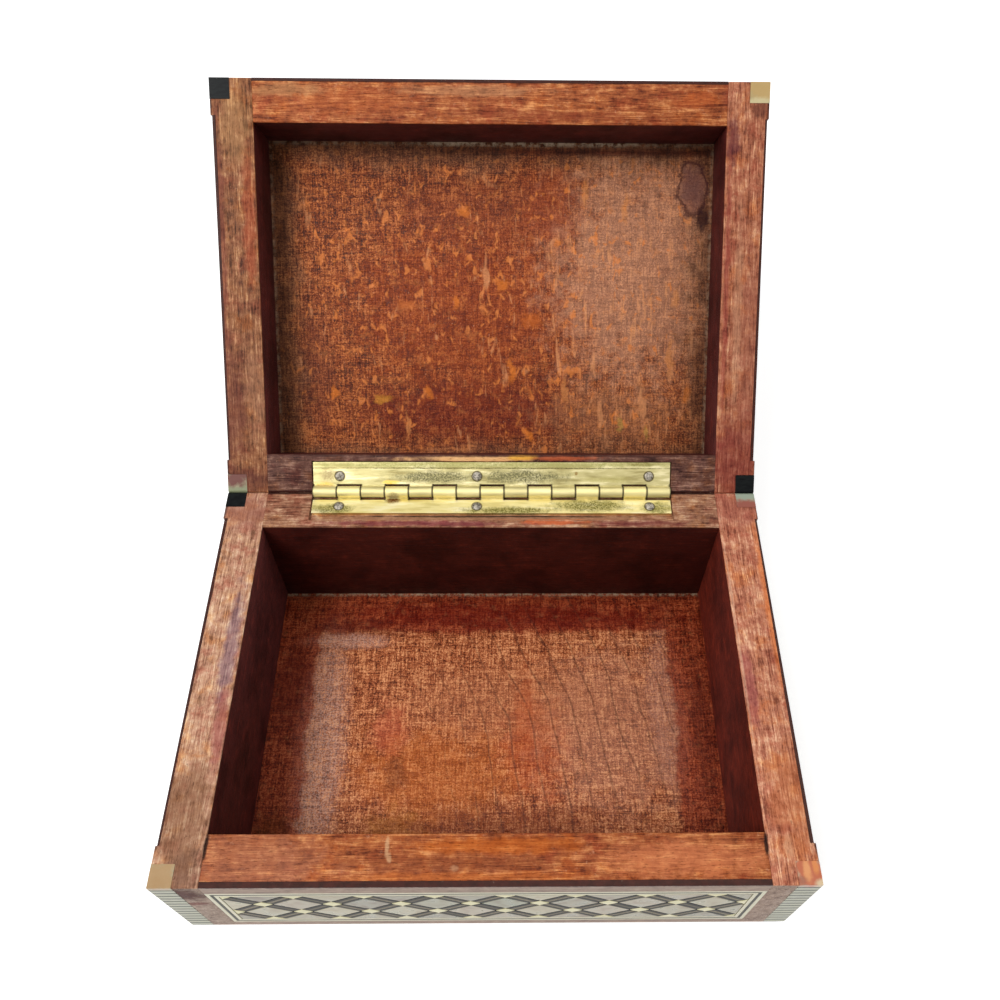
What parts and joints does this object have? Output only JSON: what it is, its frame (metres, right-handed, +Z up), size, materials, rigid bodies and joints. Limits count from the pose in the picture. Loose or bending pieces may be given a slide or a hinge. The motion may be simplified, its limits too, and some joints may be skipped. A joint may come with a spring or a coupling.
{
  "type": "inlaid trinket box",
  "caption": "Small hinged wooden box with a deep base and a shallower lid, outside laid with pearl lozenges in a dark lattice, layered corner posts and a brass piano hinge.",
  "frame": {"origin": "centre of the base's underside", "axes": "+X to the right seen from the front, +Y towards the hinge at the back, +Z up"},
  "size_m": [0.125, 0.1722, 0.0933],
  "materials": {
    "stained_wood": "stained and polished beech",
    "border_wood": "brown veneer strip",
    "black_inlay": "black wood, polished",
    "dark_inlay": "dark wood stringing",
    "bar_wood": "dark and grey wood bars",
    "bone": "polished bone",
    "cream_bone": "polished bone",
    "pearl": "polished mother-of-pearl",
    "brass": "pale brass, tarnished in patches",
    "hinge_steel": "drawn wire",
    "nail_steel": "dull grey steel"
  },
  "bodies": {
    "base": {"base_left_board": "stained_wood", "base_right_board": "stained_wood", "base_front_board": "stained_wood", "base_back_board": "stained_wood", "base_floor": "stained_wood", "base_post_bone_layers": "bone", "base_post_black_layers": "black_inlay", "base_border_strips": "border_wood", "base_cream_lines": "cream_bone", "base_dark_lines": "dark_inlay", "base_pearl_lozenges": "pearl", "base_lattice_bars": "bar_wood", "base_bone_diamonds": "cream_bone", "hinge_base_leaf": "brass", "hinge_pin": "hinge_steel", "base_hinge_nails": "nail_steel"},
    "lid": {"lid_left_board": "stained_wood", "lid_right_board": "stained_wood", "lid_front_board": "stained_wood", "lid_back_board": "stained_wood", "lid_top_board": "stained_wood", "lid_post_bone_layers": "bone", "lid_post_black_layers": "black_inlay", "lid_border_strips": "border_wood", "lid_cream_lines": "cream_bone", "lid_dark_lines": "dark_inlay", "lid_pearl_lozenges": "pearl", "lid_lattice_bars": "bar_wood", "lid_bone_diamonds": "cream_bone", "lid_top_field": "bar_wood", "hinge_lid_leaf": "brass", "lid_hinge_nails": "nail_steel"}
  },
  "joints": [
    {"name": "lid_hinge", "type": "hinge", "parent": "base", "child": "lid", "pos_m": [0, 0.0456, 0.0324], "axis": [1, 0, 0], "range_deg": [0, 138.6]}
  ]
}
